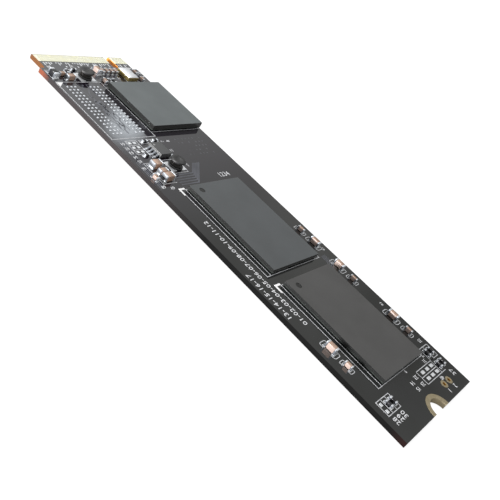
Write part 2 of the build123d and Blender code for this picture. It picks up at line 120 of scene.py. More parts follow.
# %% Node graphs
class Graph:
    def __init__(self, tree):
        self.tree = tree

    def node(self, kind, **settings):
        made = self.tree.nodes.new("ShaderNode" + kind)
        for name, value in settings.items():
            setattr(made, name, value)
        return made

    def feed(self, socket, value):
        """Link an output to a socket, or write a plain value on it."""
        if isinstance(value, bpy.types.NodeSocket):
            self.tree.links.new(value, socket)
        elif socket.type == "RGBA":
            socket.default_value = (*value, 1)
        else:
            socket.default_value = value

    def math(self, kind, *values):
        made = self.node("Math", operation=kind)
        for socket, value in zip(made.inputs, values):
            self.feed(socket, value)
        return made.outputs[0]

    def vector(self, kind, first, second):
        made = self.node("VectorMath", operation=kind)
        self.feed(made.inputs[0], first)
        self.feed(made.inputs[1], second)
        return made.outputs

    def span(self, value, low, high, to_low=0.0, to_high=1.0):
        """How far a value has come from low to high, told between two results."""
        made = self.node("MapRange")
        given = {"Value": value, "From Min": low, "From Max": high, "To Min": to_low, "To Max": to_high}
        for name, part in given.items():
            self.feed(made.inputs[name], part)
        return made.outputs["Result"]

    def mix(self, mask, first, second):
        made = self.node("Mix", data_type="RGBA")
        for name, part in (("Factor", mask), ("A", first), ("B", second)):
            self.feed(made.inputs[name], part)
        return made.outputs["Result"]

    def parts(self, vector):
        made = self.node("SeparateXYZ")
        self.feed(made.inputs["Vector"], vector)
        return made.outputs

    def place(self):
        return self.node("TexCoord").outputs["Object"]

    def facing(self):
        """The three parts of the way a face looks."""
        return self.parts(self.node("NewGeometry").outputs["True Normal"])

    def noise(self, scale, detail):
        made = self.node("TexNoise")
        for name, part in (("Vector", self.place()), ("Scale", scale), ("Detail", detail)):
            self.feed(made.inputs[name], part)
        return made.outputs["Fac"]


print("graph methods:", len([name for name in vars(Graph) if not name.startswith("_")]))

# %% [markdown]
# ## Two shared effects
# Nearly every finish on a circuit card needs the same two things: a tone that drifts a little from
# place to place, and a fine grain that breaks up its highlights. Each is a node group with named
# sockets, built once. A group is chosen over copied nodes because one edit then reaches every finish.

# %% Shared node groups
COLOUR, NUMBER = "NodeSocketColor", "NodeSocketFloat"


def new_group(name, sockets_in, sockets_out):
    tree = bpy.data.node_groups.new(name, "ShaderNodeTree")
    for way, sockets in (("INPUT", sockets_in), ("OUTPUT", sockets_out)):
        for label, kind in sockets.items():
            tree.interface.new_socket(label, in_out=way, socket_type=kind)
    given = tree.nodes.new("NodeGroupInput").outputs
    result = tree.nodes.new("NodeGroupOutput").inputs
    return Graph(tree), given, result


drift, drift_in, drift_out = new_group(
    "tone drift",
    {"First Tone": COLOUR, "Second Tone": COLOUR, "Scale": NUMBER},
    {"Tone": COLOUR, "Mask": NUMBER},
)
cloud = drift.span(drift.noise(drift_in["Scale"], 3), 0.32, 0.68)
drift.feed(drift_out["Tone"], drift.mix(cloud, drift_in["First Tone"], drift_in["Second Tone"]))
drift.feed(drift_out["Mask"], cloud)

grain, grain_in, grain_out = new_group(
    "fine grain",
    {"Scale": NUMBER, "Smooth": NUMBER, "Rough": NUMBER},
    {"Height": NUMBER, "Roughness": NUMBER},
)
speck = grain.noise(grain_in["Scale"], 2)
grain.feed(grain_out["Height"], speck)
grain.feed(grain_out["Roughness"], grain.span(speck, 0.3, 0.7, grain_in["Smooth"], grain_in["Rough"]))
print("groups:", drift.tree.name, "and", grain.tree.name)

# %% [markdown]
# ## A finish from the two effects
# Each finish is two tones, how fast they drift, how smooth and rough it gets, the size of its grain
# and how deep that grain is. The shader itself stays in the material, with its plain numbers on it.

# %% Finish maker
GRAIN_STRENGTH = 0.6


def finish(name, first, second, drift_scale, smooth, rough, grain_scale, depth, metal=0.0, ior=1.5):
    made = bpy.data.materials.new(name)
    made.use_nodes = True
    graph = Graph(made.node_tree)
    shader = made.node_tree.nodes["Principled BSDF"]
    tone = graph.node("Group", name="tone", node_tree=drift.tree)
    fine = graph.node("Group", name="grain", node_tree=grain.tree)
    bump = graph.node("Bump", name="bump")
    for node, values in (
        (tone, {"First Tone": first, "Second Tone": second, "Scale": drift_scale}),
        (fine, {"Scale": grain_scale, "Smooth": smooth, "Rough": rough}),
        (bump, {"Strength": GRAIN_STRENGTH, "Distance": depth * MM, "Height": fine.outputs["Height"]}),
        (shader, {"Metallic": metal, "IOR": ior, "Base Color": tone.outputs["Tone"]}),
        (shader, {"Roughness": fine.outputs["Roughness"], "Normal": bump.outputs["Normal"]}),
    ):
        for socket, value in values.items():
            graph.feed(node.inputs[socket], value)
    return made


gold = finish("hard gold", (1.0, 0.97, 0.72), (1.0, 1.0, 0.86), 900, 0.16, 0.30, 6000, 0.001, 0.7)
plating = finish(
    "notch plating", (0.52, 0.44, 0.28), (0.62, 0.53, 0.36), 1200, 0.28, 0.42, 7000, 0.001, 0.9
)
sleeve_gold = finish(
    "test hole plating", (0.50, 0.30, 0.06), (0.66, 0.42, 0.12), 1500, 0.25, 0.4, 7000, 0.001, 0.7
)
solder = finish(
    "reflowed solder", (0.62, 0.64, 0.67), (0.82, 0.84, 0.88), 2500, 0.24, 0.42, 5000, 0.006, 0.85
)
tin = finish("tinned end", (0.76, 0.79, 0.84), (0.90, 0.93, 0.97), 2600, 0.30, 0.46, 7000, 0.002, 0.7)
tinned_land = finish(
    "tinned land", (0.74, 0.77, 0.80), (0.90, 0.92, 0.94), 2600, 0.25, 0.42, 7000, 0.003, 0.4
)
dome_tin = finish(
    "memory land tin", (0.50, 0.53, 0.57), (0.66, 0.69, 0.73), 2600, 0.25, 0.42, 7000, 0.003, 0.4
)
MOULDING_IOR = 1.65
moulding = finish(
    "chip moulding", (0.042, 0.044, 0.045), (0.054, 0.056, 0.058),
    200, 0.44, 0.52, 14000, 0.0012, ior=MOULDING_IOR,
)
# The controller's tones are lighter than the flash packages': partly its own colour, partly painted sheen
# for the grazing reflection on its far top.
controller_moulding_with_sheen = finish(
    "controller moulding with painted sheen", (0.082, 0.096, 0.100), (0.102, 0.118, 0.122),
    200, 0.42, 0.50, 14000, 0.0012, ior=MOULDING_IOR,
)
package_board = finish(
    "package board", (0.010, 0.013, 0.012), (0.02, 0.024, 0.022), 900, 0.25, 0.4, 8000, 0.003
)
silicon = finish("silicon", (0.20, 0.20, 0.23), (0.28, 0.28, 0.32), 500, 0.05, 0.12, 3000, 0.001, 0.6)
print("metals and mouldings made")

# %% [markdown]
# ## Sawn sides with painted shade, and the ejector dimple
# Packages are moulded side by side and sawn apart, so their sides are smoother than their tops. The
# sides are also painted far darker than the tops, as painted shade. The press pin leaves a shallow dark
# dimple in each flash package, which takes the same dark colour. Both are part of the solids, so one
# mask finds the top: what looks up and lies close to the full height.

# %% Package masks
SQUARE_ON = 0.5
PAINTED_SIDE_SHADE_AND_DIMPLE_TONE = (0.011, 0.0115, 0.0115)
SIDE_ROUGHNESS = 0.24
TOP_SKIN = 0.02 * MM


def package_finish(made, case_high, *tones):
    graph, nodes = Graph(made.node_tree), made.node_tree.nodes
    for name, colour in zip(("First Tone", "Second Tone"), tones):
        graph.feed(nodes["tone"].inputs[name], colour)
    looks_up = graph.math("GREATER_THAN", graph.facing()["Z"], SQUARE_ON)
    lies_high = graph.math("GREATER_THAN", graph.parts(graph.place())["Z"], case_high.z - TOP_SKIN)
    top = graph.math("MULTIPLY", looks_up, lies_high)
    fine, shader = nodes["grain"].outputs, nodes["Principled BSDF"].inputs
    # Below the top, the colour is the dark one: painted shade on the sides, the dimple's own dark tone in
    # the dimple.
    graph.feed(shader["Base Color"], graph.mix(top, PAINTED_SIDE_SHADE_AND_DIMPLE_TONE, nodes["tone"].outputs["Tone"]))
    graph.feed(shader["Roughness"], graph.span(top, 0.0, 1.0, SIDE_ROUGHNESS, fine["Roughness"]))
    graph.feed(nodes["bump"].inputs["Height"], graph.math("MULTIPLY", fine["Height"], top))
    print(made.name, "top above", round((case_high.z - TOP_SKIN) / MM, 3), "mm")


package_finish(controller_moulding_with_sheen, controller_high)
flash_a_moulding_with_sheen, flash_b_moulding = moulding.copy(), moulding.copy()
flash_a_moulding_with_sheen.name, flash_b_moulding.name = "flash a moulding with painted sheen", "flash b moulding"
# One moulding for both flash packages. Flash a's tones are lighter than flash b's as painted sheen,
# standing in for its brighter reflection.
package_finish(flash_a_moulding_with_sheen, flash_a_high, (0.052, 0.058, 0.062), (0.062, 0.069, 0.074))
package_finish(flash_b_moulding, flash_b_high, (0.043, 0.0425, 0.0425), (0.054, 0.0535, 0.0535))

# %% [markdown]
# ## Ceramics, ferrite and print
# Multilayer capacitors are fired clay-brown bodies. Resistors and the fuse are black coated ceramic,
# the coils are pressed ferrite and the crystal sits in an olive-gold ceramic tub. The print on the
# card is a thick white ink. Clay, tin and solder get painted light on the faces that look to the
# card's left, where the low lamp stands: the clay is painted a paler, pinkish highlight there, and tin
# and solder are painted darker, as painted shade, so that the lamp doesn't burn the pale metal out
# to white.

# %% Ceramic finishes
capacitor_clay = finish(
    "capacitor ceramic", (0.30, 0.19, 0.135), (0.50, 0.35, 0.27), 700, 0.30, 0.45, 9000, 0.006
)
black_coat = finish(
    "black coated ceramic", (0.008, 0.008, 0.010), (0.022, 0.022, 0.026), 1200, 0.18, 0.34, 8000, 0.006
)
ferrite = finish(
    "pressed ferrite", (0.014, 0.014, 0.015), (0.028, 0.028, 0.030), 1500, 0.34, 0.55, 9000, 0.014
)
enamel_wire = finish(
    "enamelled wire", (0.003, 0.0028, 0.0028), (0.008, 0.006, 0.0055), 1500, 0.15, 0.3, 9000, 0.004
)
tub_ceramic = finish(
    "crystal tub", (0.20, 0.15, 0.045), (0.34, 0.27, 0.10), 1200, 0.28, 0.42, 8000, 0.006
)
lid_metal = finish("crystal lid", (0.88, 0.90, 0.94), (0.97, 0.98, 1.0), 500, 0.25, 0.38, 9000, 0.003, 0.6)


def print_ink(name, first, second):
    return finish(name, first, second, 1800, 0.4, 0.6, 9000, 0.003)


white_ink = print_ink("white print", (0.86, 0.87, 0.88), (0.96, 0.96, 0.96))
thin_ink = print_ink("thin white print", (0.42, 0.43, 0.45), (0.66, 0.67, 0.69))
number_ink = print_ink("number print", (0.62, 0.63, 0.65), (0.80, 0.81, 0.83))


# Paints light and shade by the way a face looks: faces that look left get the given colour.
def paint_left_face_light(made, colour):
    graph, nodes = Graph(made.node_tree), made.node_tree.nodes
    looks_left = graph.math("LESS_THAN", graph.facing()["X"], -SQUARE_ON)
    painted_left_light = graph.mix(looks_left, nodes["tone"].outputs["Tone"], colour)
    graph.feed(nodes["Principled BSDF"].inputs["Base Color"], painted_left_light)


# Painted light: a paler highlight on the clay's left faces, painted shade on those of tin and solder.
paint_left_face_light(capacitor_clay, (0.40, 0.31, 0.275))
paint_left_face_light(tin, (0.21, 0.225, 0.252))
paint_left_face_light(solder, (0.20, 0.21, 0.225))
print("ceramics and ink made")

# %% [markdown]
# ## The card's own finish
# A card's top is black lacquer over copper, as glossy as glass, so it shows what stands round it.
# Its cut edges show the bare laminate in thin layers, with painted light in their colour: a painted
# orange glow where the light gets in at the contact end, brightest in the key slot, a grey painted as
# lit further down, and nearly black painted shade towards the screw end, with a dark red corner
# there. On the tongue there is no lacquer between the contacts.
# All three are one mesh, so one material picks between them by the way a face looks and by place.

# %% Card finish
card = finish("card lacquer", (0.007, 0.008, 0.008), (0.013, 0.014, 0.015), 160, 0.045, 0.075, 900, 0.004)
graph, nodes = Graph(card.node_tree), card.node_tree.nodes
tone, fine, shader = nodes["tone"].outputs, nodes["grain"].outputs, nodes["Principled BSDF"].inputs
TONGUE_ROOT = PLUG_END - 4 * MM
across, along = graph.parts(graph.place())["X"], graph.parts(graph.place())["Y"]
cut_edge = graph.math("LESS_THAN", graph.math("ABSOLUTE", graph.facing()["Z"]), SQUARE_ON)

layers = graph.node("TexWave", bands_direction="Z")
layers.inputs["Scale"].default_value = 1300
layers.inputs["Distortion"].default_value = 0.6
graph.feed(layers.inputs["Vector"], graph.place())


def layered(first, second):
    return graph.mix(layers.outputs["Fac"], first, second)


# Painted light on the cut edges: lit grey and painted shade along the card, and a painted glow of light in
# the laminate near the contacts and in the key slot.
lit_end = graph.span(along, -4 * MM, 16 * MM)
red_corner = graph.span(along, SCREW_END + 2.5 * MM, SCREW_END + 0.5 * MM)
warm_end_painted_glow = graph.span(along, TONGUE_ROOT - 2.8 * MM, TONGUE_ROOT - MM)
tongue_end = graph.span(along, TONGUE_ROOT - 0.2 * MM, TONGUE_ROOT + 0.4 * MM)
key_slot_painted_glow = graph.math("GREATER_THAN", across, 5 * MM)
painted_shade_edge = layered((0.0, 0.0, 0.0), (0.001, 0.001, 0.001))
painted_lit_grey_edge = layered((0.030, 0.026, 0.027), (0.052, 0.045, 0.047))
orange_painted_glow_edge = layered((0.12, 0.048, 0.018), (0.22, 0.092, 0.034))
edge_tone = graph.mix(lit_end, painted_shade_edge, painted_lit_grey_edge)
edge_tone = graph.mix(red_corner, edge_tone, (0.010, 0.002, 0.0018))
edge_tone = graph.mix(warm_end_painted_glow, edge_tone, (0.24, 0.070, 0.038))
tongue_painted_glow = graph.mix(key_slot_painted_glow, orange_painted_glow_edge, (0.90, 0.40, 0.08))
edge_tone = graph.mix(tongue_end, edge_tone, tongue_painted_glow)

on_tongue = graph.math("GREATER_THAN", along, contacts_low.y - 0.05 * MM)
on_rim = graph.math("GREATER_THAN", along, contacts_high.y + 0.01 * MM)
bare_tone = graph.mix(tone["Mask"], (0.86, 0.85, 0.64), (0.94, 0.93, 0.74))
bare_tone = graph.mix(on_rim, bare_tone, (0.03, 0.027, 0.024))
plum = graph.span(along, -6 * MM, 10 * MM)
lacquer_tone = graph.mix(plum, tone["Tone"], (0.014, 0.011, 0.017))
flat_tone = graph.mix(on_tongue, lacquer_tone, bare_tone)
graph.feed(shader["Base Color"], graph.mix(cut_edge, flat_tone, edge_tone))

EDGE_ROUGHNESS, LACQUER_COAT, COAT_ROUGHNESS = 0.16, 0.8, 0.03
rougher = graph.math("MULTIPLY", cut_edge, EDGE_ROUGHNESS)
graph.feed(shader["Roughness"], graph.math("ADD", fine["Roughness"], rougher))
not_cut, not_rim = graph.math("SUBTRACT", 1.0, cut_edge), graph.math("SUBTRACT", 1.0, on_rim)
lacquered = graph.math("MULTIPLY", not_cut, not_rim)
graph.feed(shader["Coat Weight"], graph.math("MULTIPLY", lacquered, LACQUER_COAT))
shader["Coat Roughness"].default_value = COAT_ROUGHNESS
print("card finish has", len(nodes), "nodes")

# %% [markdown]
# ## Finishes on the solids that stay
# Solids whose shape is already right keep their mesh. Only their material slots are filled again.

# %% Solids that stay
kept = {
    "circuit_board": card,
    "top_contacts": gold,
    "bottom_contacts": gold,
    "screw_notch_plating": plating,
    "test_point_lands": plating,
    "controller_case": controller_moulding_with_sheen,
    "controller_die": silicon,
    "flash_a_case": flash_a_moulding_with_sheen,
    "flash_a_dies": silicon,
    "flash_b_case": flash_b_moulding,
    "flash_b_dies": silicon,
    "crystal_base": tub_ceramic,
    "switch_body": moulding,
    "switch_legs": tin,
}
for name in ("controller", "flash_a", "flash_b"):
    kept[name + "_substrate"] = package_board
for name in ("chip", "coil", "crystal", "switch", "spare"):
    kept[name + "_lands"] = tinned_land
for name, material in kept.items():
    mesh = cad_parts[name].data
    if not mesh.materials:
        mesh.materials.append(material)
    for index in range(len(mesh.materials)):
        mesh.materials[index] = material
print(len(kept), "solids keep their mesh")

# %% [markdown]
# ## Making and riding a piece
# Every new piece is a mesh made in code. It rides on the card, and where it stands for a solid, that
# solid is hidden. The helper takes a finished bmesh so that each piece below only says its shape.

# %% Piece helper
SHARP_EDGE = math.radians(38)
MOST_ROUND = 0.45


def piece(name, work, material, stands_for=(), smooth=False):
    mesh = bpy.data.meshes.new(name)
    bmesh.ops.recalc_face_normals(work, faces=work.faces)
    work.to_mesh(mesh)
    work.free()
    mesh.materials.append(material)
    made = bpy.data.objects.new(name, mesh)
    bpy.context.scene.collection.objects.link(made)
    if smooth:
        mesh.shade_smooth()
        mesh.set_sharp_from_angle(angle=SHARP_EDGE)
    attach(made, "root")
    if stands_for:
        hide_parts(*stands_for)
    print(name, len(mesh.polygons), "faces")


def bridge(work, near, far):
    """Faces all round between two rings of corners."""
    count = len(near)
    for step in range(count):
        after = (step + 1) % count
        work.faces.new([near[step], near[after], far[after], far[step]])


def soft_block(work, low, high, radius, steps=2):
    """A block with rounded edges, added to the bmesh."""
    low, high = Vector(low), Vector(high)
    made = bmesh.ops.create_cube(work, size=1.0)["verts"]
    size, middle = high - low, (low + high) / 2
    for vert in made:
        vert.co = Vector([vert.co[i] * size[i] + middle[i] for i in range(3)])
    edges = list({edge for vert in made for edge in vert.link_edges})
    radius = min(radius, MOST_ROUND * min(size))
    bmesh.ops.bevel(work, geom=edges, offset=radius, segments=steps, profile=0.5, affect="EDGES")


def lathe(work, profile, middle, turns=40):
    """A profile of (radius, height) points turned about a standing axis."""
    rings = []
    for radius, height in profile:
        if radius < 1e-7:
            rings.append([work.verts.new((middle.x, middle.y, height))])
            continue
        ring = []
        for step in range(turns):
            angle = 2 * math.pi * step / turns
            x, y = middle.x + radius * math.cos(angle), middle.y + radius * math.sin(angle)
            ring.append(work.verts.new((x, y, height)))
        rings.append(ring)
    for lower, upper in zip(rings, rings[1:]):
        for step in range(turns):
            after = (step + 1) % turns
            corners = [lower[step % len(lower)], lower[after % len(lower)]]
            corners += [upper[after % len(upper)], upper[step % len(upper)]]
            unique = [v for i, v in enumerate(corners) if v not in corners[:i]]
            if len(unique) > 2:
                work.faces.new(unique)


print("helpers ready")

# %% [markdown]
# ## Chip parts with real edges
# A real capacitor or resistor is tumbled or dipped, so its ends are soft pillows of tin and its body
# edges catch a thin line of light. Each solid's box is filled with a block that is rounded by its
# size's own radius.

# %% Chip bodies and ends
chip_kinds = {
    "bulk_capacitor": (0.07, 0.10, capacitor_clay, "capacitor_ceramic"),
    "large_capacitor": (0.05, 0.08, capacitor_clay, "capacitor_ceramic"),
    "small_capacitor": (0.035, 0.06, capacitor_clay, "capacitor_ceramic"),
    "resistor": (0.02, 0.035, black_coat, "dark_ceramic"),
    "fuse": (0.07, 0.10, black_coat, "dark_ceramic"),
}
for kind, (body_round, end_round, material, slot_name) in chip_kinds.items():
    bodies = bmesh.new()
    for low, high in islands(kind + "_bodies"):
        soft_block(bodies, low, high, body_round * MM)
    piece(kind + "_body_forms", bodies, material, [kind + "_bodies"], smooth=True)
    ends = bmesh.new()
    for low, high in islands(kind + "_ends"):
        soft_block(ends, low, high, end_round * MM, steps=3)
    piece(kind + "_end_forms", ends, tin, [kind + "_ends"], smooth=True)

# %% [markdown]
# ## Solder at the ends
# Melted solder climbs each end of a chip part and runs out over its land in a hollow curve. The
# solids leave it out. Here each end gets a wedge with a hollow face, which starts six tenths of the
# way up the end and runs out over the land.

# %% Solder fillets
FILLET_REACH = 0.14 * MM
FILLET_TOE = 0.012 * MM
FILLET_CLIMB = 0.62
FILLET_STEPS = 5
END_SQUEEZE = 0.55
END_INSET = 0.08
IN_LINE = 0.01 * MM
FARTHEST_END = 1.3


def hollow_profile(climb):
    """Points of (out, rise) up the hollow face, and the corner at the foot of the wall."""
    points = []
    for step in range(FILLET_STEPS + 1):
        turn = math.pi / 2 * step / FILLET_STEPS
        points.append((FILLET_REACH * (1 - math.sin(turn)), climb * (1 - math.cos(turn)) + FILLET_TOE))
    return points + [(0.0, 0.0)]


def fillet_wedge(work, low, high, axis, outward):
    side = 1 - axis
    wall = high[axis] if outward > 0 else low[axis]
    inset = END_INSET * (high[side] - low[side])
    profile = hollow_profile(FILLET_CLIMB * (high.z - low.z))
    stations = [(low[side], END_SQUEEZE), (low[side] + inset, 1), (high[side] - inset, 1)]
    stations.append((high[side], END_SQUEEZE))
    loops = []
    for place, squeeze in stations:
        loop = []
        for out, rise in profile:
            spot = [0.0, 0.0, low.z + rise * squeeze]
            spot[axis] = wall + outward * out * squeeze
            spot[side] = place
            loop.append(work.verts.new(spot))
        loops.append(loop)
    for near, far in zip(loops, loops[1:]):
        bridge(work, near, far)
    work.faces.new(loops[0])
    work.faces.new(loops[-1])


wedges = bmesh.new()
for kind in chip_kinds:
    bodies, ends = islands(kind + "_bodies"), islands(kind + "_ends")
    for low, high in bodies:
        axis = 0 if high.x - low.x > high.y - low.y else 1
        middle = (low + high) / 2
        for end_low, end_high in ends:
            away = (end_low + end_high) / 2 - middle
            beside = abs(away[1 - axis]) > IN_LINE
            too_far = abs(away[axis]) > FARTHEST_END * (high[axis] - low[axis])
            if not beside and not too_far:
                fillet_wedge(wedges, end_low, end_high, axis, 1 if away[axis] > 0 else -1)
piece("solder_fillets", wedges, solder, smooth=True)

# %% [markdown]
# ## Tinned memory lands
# The empty memory place is a field of small round lands, each with a drop of tin on it that has
# pulled itself into a shallow dome. A dome catches the light as one bright dot, which a flat disc
# does not. They are turned from one short profile.

# %% Memory domes
DOME_RISE = 0.03 * MM
HAIR = 0.004 * MM
domes = bmesh.new()
for low, high in islands("memory_lands"):
    radius = (high.x - low.x) / 2
    profile = [(radius, low.z), (radius, high.z - HAIR)]
    for angle in (0.35, 0.8, 1.2):
        profile.append((radius * math.cos(angle), high.z + DOME_RISE * math.sin(angle)))
    profile.append((0.0, high.z + DOME_RISE))
    lathe(domes, profile, (low + high) / 2, turns=14)
piece("memory_tin", domes, dome_tin, ["memory_lands"], smooth=True)

# %% [markdown]
# ## Solder balls under the packages
# The packages stand on balls that were squashed a little as they melted, so each is a barrel.

# %% Solder balls
BALL_NECK = 0.72
for name in ("controller", "flash_a", "flash_b"):
    balls = bmesh.new()
    for low, high in islands(name + "_solder_balls"):
        middle, tall = (low + high) / 2, high.z - low.z
        radius = (high.y - low.y) / 2
        profile = [(0.0, low.z)]
        for share in (0.0, 0.2, 0.5, 0.8, 1.0):
            belly = BALL_NECK + (1 - BALL_NECK) * math.sin(math.pi * share)
            profile.append((radius * belly, low.z + tall * share))
        profile.append((0.0, high.z))
        lathe(balls, profile, middle, turns=12)
    piece(name + "_ball_forms", balls, solder, [name + "_solder_balls"], smooth=True)

# %% [markdown]
# ## Drum coils
# Each coil is a pressed drum with its flange edges rounded by the press tool, and enamelled wire
# wound tight round the neck. The wire shows as a stack of turns, so its outline is turned as a row
# of small half rounds.

# %% Drum coils
WIRE_TURNS = 6
FLANGE_SOFT = 0.07 * MM
WIRE_DEPTH = 0.06 * MM
DISH_DEPTH, DISH_SAG = 0.03 * MM, 0.005 * MM
DISH_RIM, DISH_FLOOR = 0.45, 0.4


def drum_profile(low, high, radius, neck, wire_bottom, wire_top):
    soft = FLANGE_SOFT
    lower = [(0.0, low.z), (radius - soft, low.z), (radius, low.z + soft)]
    lower += [(radius, wire_bottom - soft), (radius - soft, wire_bottom), (neck, wire_bottom)]
    upper = [(neck, wire_top), (radius - soft, wire_top), (radius, wire_top + soft)]
    upper += [(radius, high.z - soft), (radius - 0.3 * soft, high.z - 0.3 * soft)]
    floor_z = high.z - DISH_DEPTH
    dish = [(radius - soft, high.z), (radius * DISH_RIM, high.z), (radius * DISH_FLOOR, floor_z)]
    return lower + upper + dish + [(0.0, floor_z - DISH_SAG)]


def wire_profile(neck, outer, bottom, top):
    half = (top - bottom) / WIRE_TURNS / 2
    points = [(neck, bottom)]
    for turn in range(WIRE_TURNS):
        centre = bottom + half * (2 * turn + 1)
        for angle in (-1.3, -0.8, 0.0, 0.8, 1.3):
            points.append((outer - half + half * math.cos(angle), centre + half * math.sin(angle)))
    return points + [(neck, top)]


drums, wires = bmesh.new(), bmesh.new()
for (low, high), (wire_low, wire_high) in zip(islands("coil_cores"), islands("coil_windings")):
    middle, radius = (low + high) / 2, (high.x - low.x) / 2
    outer = (wire_high.x - wire_low.x) / 2
    neck = outer - WIRE_DEPTH
    lathe(drums, drum_profile(low, high, radius, neck, wire_low.z, wire_high.z), middle, turns=56)
    lathe(wires, wire_profile(neck, outer, wire_low.z, wire_high.z), middle, turns=40)
piece("drum_forms", drums, ferrite, ["coil_cores"], smooth=True)
piece("wire_turns", wires, enamel_wire, ["coil_windings"], smooth=True)

# %% [markdown]
# ## Crystal lid
# The lid is a thin metal plate, seam-welded to its tub, with a slightly raised middle. It is a soft
# block with a second, narrower and taller one in it, both inside the box of its solid.

# %% Crystal lid
lid_low, lid_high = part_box("crystal_lid")
lid = bmesh.new()
LID_STEP, LID_RIM = Vector((0, 0, 0.03 * MM)), Vector((0.16 * MM, 0.16 * MM, 0))
PLATE_ROUND, MIDDLE_ROUND = 0.03 * MM, 0.05 * MM
soft_block(lid, lid_low, lid_high - LID_STEP, PLATE_ROUND)
soft_block(lid, lid_low + LID_RIM, lid_high - LID_RIM, MIDDLE_ROUND)
piece("crystal_lid_plate", lid, lid_metal, ["crystal_lid"], smooth=True)

# %% [markdown]
# ## White print
# The outlines round the parts are silk-screened white lines. Each is drawn as a flat ribbon, a
# hundredth of a millimetre thick, with mitred corners. A ribbon in mesh code was chosen over a curve
# because its width stays exact and it costs few faces.

# %% Ribbons
INK = 0.012 * MM
FINE, BROAD = 0.10, 0.34
LEAST_MITRE = 0.35


def ribbon(work, points, width, closed=False, thick=INK):
    spots = [Vector((x * MM, y * MM)) for x, y in points]
    half = width * MM / 2
    legs = [(after - spot).normalized() for spot, after in zip(spots, spots[1:] + spots[:1])]
    if not closed:
        legs[-1] = legs[-2]
    normals = [Vector((-leg.y, leg.x)) for leg in legs]
    corners = []
    for index, spot in enumerate(spots):
        before = normals[index - 1] if closed or index else normals[0]
        mitre = (before + normals[index]).normalized()
        reach = mitre * half / max(LEAST_MITRE, mitre.dot(before))
        a, b = spot + reach, spot - reach
        rim = [(*a, TOP), (*b, TOP), (*b, TOP + thick), (*a, TOP + thick)]
        corners.append([work.verts.new(corner) for corner in rim])
    for near, far in zip(corners, corners[1:]):
        bridge(work, near, far)
    if closed:
        bridge(work, corners[-1], corners[0])
    else:
        work.faces.new(corners[0])
        work.faces.new(corners[-1])


def box_line(work, left, near, right, far, width=FINE):
    ribbon(work, [(left, near), (right, near), (right, far), (left, far)], width, closed=True)


def hook_pair(work, x, y, half_x, half_y):
    """Two open hooks facing each other across a part that lies along the card."""
    corner = 0.4 * half_x
    soft = 0.3 * corner
    mouth = half_y - 0.75 * half_x - 0.2
    half_hook = [(-half_x, mouth), (-half_x, half_y - corner), (soft - half_x, half_y - soft)]
    half_hook.append((corner - half_x, half_y))
    hook = half_hook + [(-along_x, along_y) for along_x, along_y in reversed(half_hook)]
    for way in (1, -1):
        ribbon(work, [(x + along_x, y + way * along_y) for along_x, along_y in hook], FINE)


print("ribbon tools ready")

# %% [markdown]
# ## Lines round the packages and the capacitors
# Each flash package has two open frames, one close and one wider, and a bold L at its first pin. The
# memory place has a full frame and the controller one long line. In the card's screw half, the small
# and large capacitors have a pair of hooks each.

# %% Print lines
SNUG = 0.12
ink, bold = bmesh.new(), bmesh.new()
for low, high in ((flash_a_low, flash_a_high), (flash_b_low, flash_b_high)):
    near, far, left, right = low.y / MM, high.y / MM, low.x / MM, high.x / MM
    outer = [(left - 1.05, far - 0.95), (left - 1.05, near - SNUG)]
    outer += [(right + 0.9, near - SNUG), (right + 0.9, near - SNUG + 0.7)]
    inner = [(left - SNUG, near), (left - SNUG, far + SNUG)]
    inner += [(right + SNUG, far + SNUG), (right + SNUG, near - SNUG + 0.9)]
    first_pin = [(left - 0.1, far + 0.35), (left - 1.2, far + 0.35), (left - 1.2, far - 1.0)]
    ribbon(ink, outer, FINE)
    ribbon(ink, inner, FINE)
    ribbon(bold, first_pin, BROAD)

box_line(ink, -10.65, 17.5, -1.3, 32.1, width=0.11)
under_controller = controller_low.y / MM - 0.08
ribbon(ink, [(-1.2, under_controller), (10.75, under_controller)], FINE)
hook_sizes = {"large_capacitor_bodies": (0.7, 1.42), "small_capacitor_bodies": (0.52, 1.05)}
for node, (half_x, half_y) in hook_sizes.items():
    for low, high in islands(node):
        x, y = (low.x + high.x) / 2 / MM, (low.y + high.y) / 2 / MM
        if y < 0:
            hook_pair(ink, x, y, half_x, half_y)
print("lines round packages and capacitors:", len(ink.faces), "faces")

# %% [markdown]
# ## Frames round the small parts
# Groups of resistors and capacitors stand in small printed cells. The places are millimetres on the
# card, read against the parts that the cells hold. A filled corner marks the memory place.

# %% Print frames round the small parts
cells = [
    (-9.75, -36.45, -6.3, -34.3), (-8.55, 13.65, -6.35, 16.85),
    (-5.75, 15.95, -1.85, 16.8), (7.55, -34.5, 10.15, -32.4),
]
for left, near, right, far in cells:
    box_line(ink, left, near, right, far)
strokes = [
    [(-8.55, -34.3), (-8.55, -36.45)], [(-7.4, -34.3), (-7.4, -36.45)], [(2.3, -34.5), (8.6, -34.5)],
    [(2.3, -35.58), (7.35, -35.58)], [(2.3, -36.65), (8.6, -36.65)], [(7.35, -34.5), (7.35, -36.65)],
    [(2.3, -34.5), (2.3, -36.65)], [(8.72, -34.5), (8.72, -32.4)], [(-8.55, 14.72), (-6.35, 14.72)],
    [(-8.55, 15.78), (-6.35, 15.78)], [(-4.95, 9.2), (-4.95, 8.75), (-1.9, 8.75), (-1.9, 9.2)],
    [(-5.2, 11.85), (-1.8, 11.85)], [(-5.3, 31.95), (-5.3, 32.25), (-1.9, 32.25), (-1.9, 31.95)],
    [(-9.2, 6.9), (-9.2, 11.6), (-6.25, 11.6)], [(-6.25, 6.9), (-9.2, 6.9)],
    [(-10.6, 32.6), (-10.6, 35.3), (-9.3, 35.3)], [(-9.3, 34.75), (-7.2, 34.75), (-7.2, 34.2)],
    [(4.75, 32.15), (8.1, 32.15), (8.1, 35.85)], [(-0.45, 33.9), (-0.45, 36.2), (4.85, 36.2)],
    [(0.2, 31.35), (2.5, 31.35), (2.5, 33.1), (0.2, 33.1)],
]
